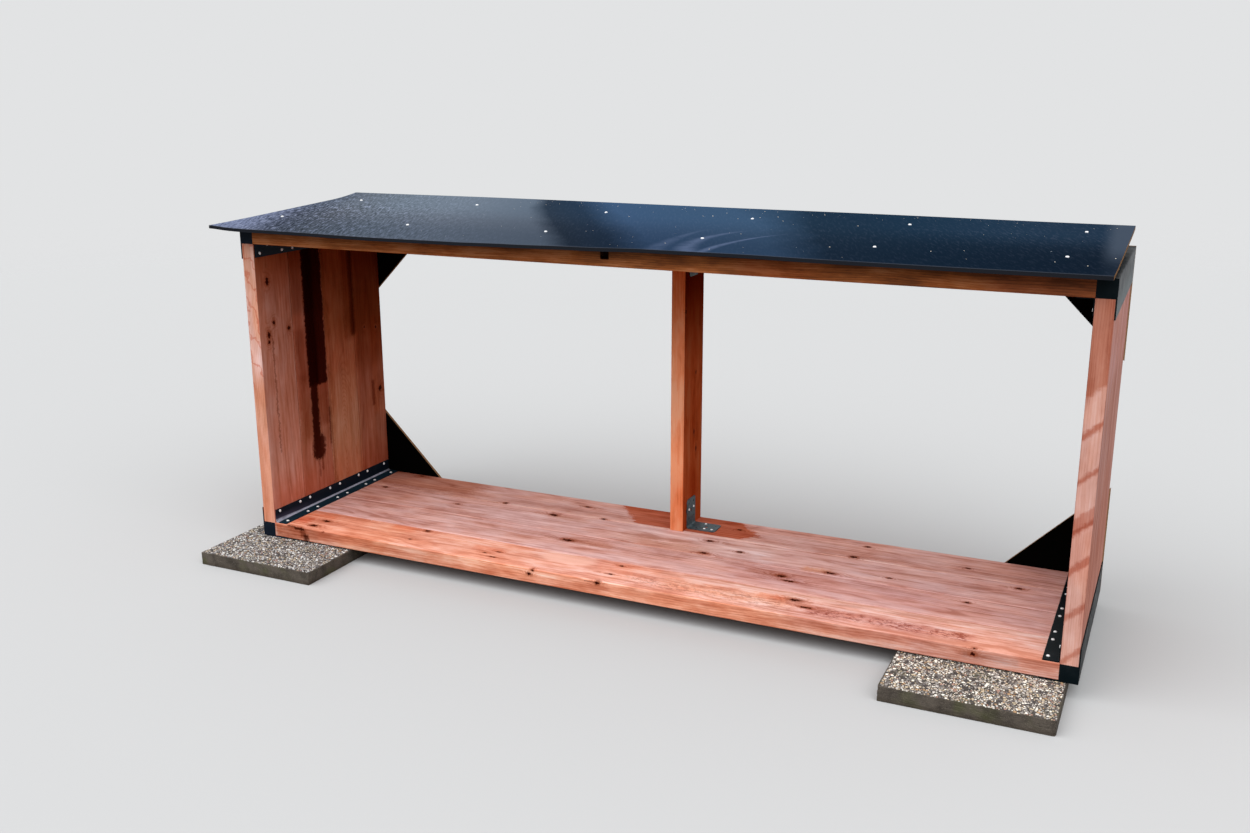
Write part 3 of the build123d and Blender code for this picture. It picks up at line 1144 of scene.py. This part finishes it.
def add_screw(mesh, centre, outward, head, spin):
    """A pan head with a six-lobed recess, standing on centre and facing outward."""
    radius, rise = head
    turn = Vector(outward).to_track_quat("Z", "Y").to_matrix().to_4x4()
    stand = Matrix.Translation(at(*centre)) @ turn @ Matrix.Rotation(spin, 4, "Z")
    rings = []
    for reach, height, wave in HEAD_RINGS:
        ring = []
        for angle in angles(SCREW_SIDES):
            out = radius * reach * (1 + wave * math.cos(LOBES * angle))
            spot = Vector((out * math.cos(angle), out * math.sin(angle), height * rise))
            ring.append(mesh.verts.new(stand @ (spot * MM)))
        rings.append(ring)
    skin(mesh, rings)
    mesh.faces.new(rings[-1])
    mesh.faces.new(reversed(rings[0]))


def screws(name, spots, head, material):
    """spots holds each head's centre and the way that it faces."""
    turns = random.Random(name)
    mesh = bmesh.new()
    for centre, outward in spots:
        add_screw(mesh, centre, outward, head, turns.uniform(0, math.pi / 3))
    make_piece(name, mesh, material)


def corner_sides(node):
    """A corner piece's outer x and z, each with the way that leads inward from it."""
    low, high = extent(node)
    side = (low.x, 1) if "left" in node else (high.x, -1)
    deck = (low.z, 1) if "lower" in node else (high.z, -1)
    return *side, *deck


ROOF_SCREWS = (
    (37, 147), (507, 119), (947, 126), (1391, 146), (1835, 151), (2277, 151),
    (56, 514), (491, 520), (953, 488), (1406, 489), (1841, 508), (2285, 513),
)


def roof_screws(material):
    """Two screws into each batten."""
    facing = (0, -math.sin(ROOF_SLOPE), math.cos(ROOF_SLOPE))
    spots = [((x, y, roof_top(y) + roof_wave(x, y)), facing) for x, y in ROOF_SCREWS]
    screws("roof_screws", spots, ROOF_HEAD, material)


ANGLE_SCREW_ROWS = (23, 120, 168, 270, 321, 423, 472, 567)
ANGLE_DECK_SHIFT = 3
ANGLE_WALL_SCREWS = {"lower": 33, "upper": 29}
ANGLE_DECK_SCREW = 29


def angle_screws(place, material):
    """Two rows in one inner angle, in its wall leg and in its floor or top leg."""
    heel_x, inward, heel_z, into_bay = corner_sides("inner_angle_" + place)
    up = ANGLE_WALL_SCREWS[place.split("_")[0]]
    in_x = heel_x + inward * ANGLE_DECK_SCREW
    spots = []
    for y in ANGLE_SCREW_ROWS:
        wall = (heel_x + inward * steel_t, y, heel_z + into_bay * up)
        deck = (in_x, y + ANGLE_DECK_SHIFT, heel_z + into_bay * steel_t)
        spots += [(wall, (inward, 0, 0)), (deck, (0, 0, into_bay))]
    screws("angle_screws_" + place, spots, ANGLE_HEAD, material)


BRACKET_T = 2.5
BRACKET_FLAT_SCREWS = ((52, 15), (42, 56), (76, 16))
BRACKET_UPRIGHT_SCREWS = ((57, 14), (57, 51))


def bracket_screws(node, material):
    """Three screws in the leg on the boards and two in the leg on the post."""
    low, high = extent(node)
    heel_z, into_bay = (low.z, 1) if node.endswith("foot") else (high.z, -1)
    spots = []
    for out, across in BRACKET_FLAT_SCREWS:
        spot = (low.x + out, low.y + across, heel_z + into_bay * BRACKET_T)
        spots.append((spot, (0, 0, into_bay)))
    for out, across in BRACKET_UPRIGHT_SCREWS:
        spot = (low.x + BRACKET_T, low.y + across, heel_z + into_bay * out)
        spots.append((spot, (1, 0, 0)))
    screws(node + "_screws", spots, BRACKET_HEAD, material)


GUSSET_SCREW_EDGE = 22
GUSSET_SCREW_PLACES = (35, 125, 215)


def gusset_screws(place, material):
    """Three screws along each straight edge, into the ends of the boards."""
    side_x, inward, foot_z, into_bay = corner_sides("gusset_" + place)
    back = extent("gusset_" + place)[1].y
    spots = set()
    for step in GUSSET_SCREW_PLACES:
        spots.add((side_x + inward * GUSSET_SCREW_EDGE, foot_z + into_bay * step))
        spots.add((side_x + inward * step, foot_z + into_bay * GUSSET_SCREW_EDGE))
    spots = [((x, back, z), (0, 1, 0)) for x, z in sorted(spots)]
    screws("gusset_screws_" + place, spots, GUSSET_HEAD, material)


# Roof sheet and the grit on it

ROOF_COLUMNS, ROOF_ROWS = 98, 28


def roof_sheet(material):
    """The roof's plywood, with the slight waves of its long edges."""
    mesh = bmesh.new()
    back, down = ROOF_T * math.sin(ROOF_SLOPE), ROOF_T * math.cos(ROOF_SLOPE)
    rings = []
    for j in range(ROOF_ROWS + 1):
        y = roof_low.y + (roof_back_y - roof_low.y) * j / ROOF_ROWS
        top, under = [], []
        for i in range(ROOF_COLUMNS + 1):
            x = roof_low.x + (roof_high.x - roof_low.x) * i / ROOF_COLUMNS
            z = roof_top(y) + roof_wave(x, y)
            top.append(mesh.verts.new(at(x, y, z)))
            under.append(mesh.verts.new(at(x, y + back, z - down)))
        rings.append(top + under[::-1])
    skin(mesh, rings)
    for ring in (rings[0], rings[-1][::-1]):
        for i in range(ROOF_COLUMNS):
            mesh.faces.new((ring[i + 1], ring[i], ring[-1 - i], ring[-2 - i]))
    sheet = make_piece("roof_sheet", mesh, material)
    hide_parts("roof_plate")


GRIT_PLACED = (
    (1084, 533), (1191, 595), (1253, 503), (1280, 510), (1365, 484), (1462, 240), (1468, -5),
    (1733, 120), (1464, 540), (1499, 477), (1583, 596), (1328, 51), (1402, 608), (1716, 450),
    (1840, 610), (1981, 615), (2103, 602), (1974, 131), (2045, 164), (2258, 80), (2330, 51),
    (2379, 162), (2351, 586), (808, 615), (940, 597), (1050, 438), (873, 626), (1153, 588),
    (1302, 566), (1418, 519),
)
GRIT_COUNT = 90
GRIT_BACK_SHARE = 0.6
GRIT_FROM_X, GRIT_EDGE = 600, 20
GRIT_BACK_Y, GRIT_LAST_Y = 560, 634
GRIT_COARSE, GRIT_FINE = (1.2, 2), (0.5, 1)
GRIT_SUNK, GRIT_FLAT = 0.3, 0.6
GRIT_UNEVEN = (0.75, 1)


def roof_grit(material):
    """Crumbs of pale mortar and sand, most of them near the back edge."""
    luck = random.Random(7)
    spots = list(GRIT_PLACED)
    for number in range(GRIT_COUNT):
        x = luck.uniform(GRIT_FROM_X, roof_high.x - GRIT_EDGE)
        near_back = number < GRIT_COUNT * GRIT_BACK_SHARE
        strip = (GRIT_BACK_Y, GRIT_LAST_Y) if near_back else (roof_low.y + GRIT_EDGE, GRIT_BACK_Y)
        spots.append((x, luck.uniform(*strip)))
    mesh = bmesh.new()
    for number, (x, y) in enumerate(spots):
        size = luck.uniform(*(GRIT_COARSE if number < len(GRIT_PLACED) else GRIT_FINE))
        z = roof_top(y) + roof_wave(x, y) + size * GRIT_SUNK
        crumb = bmesh.ops.create_icosphere(mesh, subdivisions=1, radius=size * MM)
        for vertex in crumb["verts"]:
            vertex.co *= luck.uniform(*GRIT_UNEVEN)
            vertex.co.z *= GRIT_FLAT
            vertex.co += at(x, y, z)
    make_piece("roof_grit", mesh, material)


# Concrete pads

MORTAR_DROP = 1.6
SLAB_CUTS = 44
GRAIN_DEEP, GRAIN_W = 0.9, 5
CHIP_DEEP, CHIP_W, CHIP_MORE, CHIP_LEAST = 5, 14, 0.1, 0.8
TOP_BITE = 0.5
NEARLY_HALF = 0.4999


def pad_slab(node, material):
    """The cast slab: rough sides, chipped arrises, and a top that lies just under the stones."""
    low, high = extent(node)
    size = Vector((high.x - low.x, high.y - low.y, high.z - MORTAR_DROP - low.z))
    middle = low + size / 2
    mesh = bmesh.new()
    bmesh.ops.create_cube(mesh, size=1)
    bmesh.ops.subdivide_edges(mesh, edges=mesh.edges[:], cuts=SLAB_CUTS, use_grid_fill=True)
    for vertex in mesh.verts:
        sides = [math.copysign(1, c) if abs(c) > NEARLY_HALF else 0 for c in vertex.co]
        spot = middle + vertex.co * size
        bite = abs(noise.noise(spot / GRAIN_W)) * GRAIN_DEEP
        if sides.count(0) <= 1:
            bite += max(0, noise.noise(spot / CHIP_W) + CHIP_MORE) * CHIP_DEEP + CHIP_LEAST
        top = max(0, sides[2]) * TOP_BITE
        vertex.co = at(spot.x - sides[0] * bite, spot.y - sides[1] * bite, spot.z - top * bite)
    slab = make_piece(node + "_slab", mesh, material)
    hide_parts(node)


STONE_COUNT = 4600
STONE_TRIES = 60000
STONE_R, STONE_MORE_R = 2.1, 3.4
STONE_SHRINK = 1.6
STONE_GAP = 0.8
STONE_EDGE = 1
STONE_CELL = 12
STONE_SIDES = 6
STONE_SUNK = 0.8
STONE_LOWER, STONE_RISE = 0.7, 0.75
STONE_STRETCH, STONE_WOBBLE = (0.75, 1.2), (0.9, 1.08)
# A stone's rings below its tip: shares of its radius and of its rise
STONE_RINGS = ((1, 0), (0.82, 0.66))


def stones_laid(low, high, seed):
    """Stones scattered without overlap, large ones first: x, y, radius, stretch, turn and shade."""
    luck = random.Random(seed)
    taken = {}
    stones = []
    for attempt in range(STONE_TRIES):
        if len(stones) >= STONE_COUNT:
            break
        large = max(0, 1 - attempt / STONE_TRIES * STONE_SHRINK)
        radius = STONE_R + STONE_MORE_R * large * luck.random()
        edge = radius + STONE_EDGE
        x = luck.uniform(low.x + edge, high.x - edge)
        y = luck.uniform(low.y + edge, high.y - edge)
        column, row = int(x // STONE_CELL), int(y // STONE_CELL)
        near = (
            stone
            for i in (column - 1, column, column + 1)
            for j in (row - 1, row, row + 1)
            for stone in taken.get((i, j), ())
        )
        if any(math.hypot(x - s[0], y - s[1]) < (radius + s[2]) * STONE_GAP for s in near):
            continue
        stretch, turn = luck.uniform(*STONE_STRETCH), luck.uniform(0, math.pi)
        stone = (x, y, radius, stretch, turn, luck.random())
        taken.setdefault((column, row), []).append(stone)
        stones.append(stone)
    return stones


def pad_stones(node, material, seed):
    """Rounded stones half sunk in the mortar, their tops level with the pad's face."""
    low, high = extent(node)
    luck = random.Random(seed + 0.5)
    mesh = bmesh.new()
    tone = mesh.verts.layers.float.new(STONE_TONE)
    base = high.z - MORTAR_DROP - STONE_SUNK
    for x, y, radius, stretch, turn, shade in stones_laid(low, high, seed):
        rise = min(high.z - luck.uniform(0, STONE_LOWER) - base, STONE_RISE * radius)
        rings = []
        for reach, share in STONE_RINGS:
            ring = []
            for angle in angles(STONE_SIDES):
                wobble = reach * radius * luck.uniform(*STONE_WOBBLE)
                across = Vector((wobble * math.cos(angle), wobble * stretch * math.sin(angle), 0))
                across.rotate(Matrix.Rotation(turn, 3, "Z"))
                ring.append(mesh.verts.new(at(x + across.x, y + across.y, base + share * rise)))
            rings.append(ring)
        tip = mesh.verts.new(at(x, y, base + rise))
        for vertex in (*rings[0], *rings[1], tip):
            vertex[tone] = shade
        skin(mesh, rings)
        for step in range(STONE_SIDES):
            mesh.faces.new((rings[1][step - 1], rings[1][step], tip))
        mesh.faces.new(reversed(rings[0]))
    for face in mesh.faces:
        face.smooth = len(face.verts) < STONE_SIDES
    make_piece(node + "_stones", mesh, material)


# Stage and light

BACKGROUND = paint(226, 227, 228)
FLOOR_COLOUR, FLOOR_SEEN = paint(110, 108, 106), paint(190, 191, 192)
FLOOR_R, FLOOR_SIDES = 14, 96
FADE_FROM, FADE_TO = 3.5, 11
HORIZON_LIGHT, HIGH_LIGHT = 0.1, 2.6
HIGH_FROM = 0.7
BACK_SHARE = 0.25
BACK_FROM, FRONT_FROM = 0.35, -0.25


def seen_by_camera(bench):
    """1 for rays that show the background: from the camera, or by way of metal and glass."""
    path = bench.add("LightPath").outputs
    seen = bench.maths("MAXIMUM", path["Is Camera Ray"], path["Is Glossy Ray"])
    return bench.maths("MAXIMUM", seen, path["Is Transmission Ray"])


def studio_floor():
    """A round floor that fades into the background, paler to the camera than to the light."""
    mesh = bmesh.new()
    bmesh.ops.create_circle(mesh, cap_ends=True, segments=FLOOR_SIDES, radius=FLOOR_R)
    bench = new_material("studio_floor")
    colour = bench.mix(seen_by_camera(bench), FLOOR_COLOUR, FLOOR_SEEN)
    lit = bench.get(0, "BsdfDiffuse", {"Color": colour})
    clear = bench.get(0, "BsdfTransparent")
    fade = bench.ramp(bench.length(bench.get("Object", "TexCoord")), FADE_FROM, FADE_TO)
    both = bench.get(0, "MixShader", {0: fade, 1: lit, 2: clear})
    bench.add("OutputMaterial", {"Surface": both})
    make_object("studio_floor", mesh, bench.material)


def studio_sky():
    """Soft light, strongest from high in front and weak from behind, and a plain pale background."""
    world = bpy.data.worlds.new("studio_sky")
    bpy.context.scene.world = world
    world.use_nodes = True
    world.node_tree.nodes.clear()
    bench = Bench(world.node_tree)
    x, y, z = bench.split(bench.get("Generated", "TexCoord"))
    level = bench.ramp(z, 0, HIGH_FROM, HORIZON_LIGHT, HIGH_LIGHT)
    level = level * bench.ramp(y, FRONT_FROM, BACK_FROM, 1, BACK_SHARE)
    light = bench.get(0, "Background", {"Color": paint(255, 255, 255), "Strength": level})
    shown = bench.get(0, "Background", {"Color": BACKGROUND, "Strength": 1})
    both = bench.get(0, "MixShader", {0: seen_by_camera(bench), 1: light, 2: shown})
    bench.add("OutputWorld", {"Surface": both})


# The store

def numbered(name, numbers):
    return [name + str(number) for number in numbers]


def dress_nodes():
    dress(["floor_board_1"], front_floor_timber())
    dress(numbered("floor_board_", BOARDS[1:]), floor_timber())
    dress(numbered("left_wall_board_", BOARDS), left_wall_timber())
    dress(numbered("right_wall_board_", BOARDS), right_wall_timber())
    dress(numbered("top_board_", BOARDS), top_timber())
    dress(["middle_post"], post_timber())
    dress(numbered("roof_batten_", BATTENS), batten_timber())
    steel = [kind + place for kind in ("corner_profile_", "inner_angle_") for place in CORNERS]
    dress(steel, black_steel())
    dress(BRACKETS, zinc_plate())
    dress(["roof_plate"], roof_film())
    dress(["gusset_" + place for place in CORNERS], gusset_film())
    dress(PADS, pad_mortar())


def add_fittings():
    """The roof sheet with its grit, and all the screws."""
    bright = bright_steel()
    roof_sheet(nodes["roof_plate"].data.materials[0])
    roof_grit(pale_grit())
    roof_screws(bright)
    for node in BRACKETS:
        bracket_screws(node, bright)
    for place in CORNERS:
        angle_screws(place, bright)
        gusset_screws(place, bright)


def add_pads():
    mortar = nodes[PADS[0]].data.materials[0]
    pebbles = pad_pebbles()
    for seed, node in enumerate(PADS):
        pad_slab(node, mortar)
        pad_stones(node, pebbles, seed)


bpy.context.scene.view_settings.view_transform = "Standard"
photo_camera()
studio_sky()
studio_floor()
dress_nodes()
add_fittings()
add_pads()
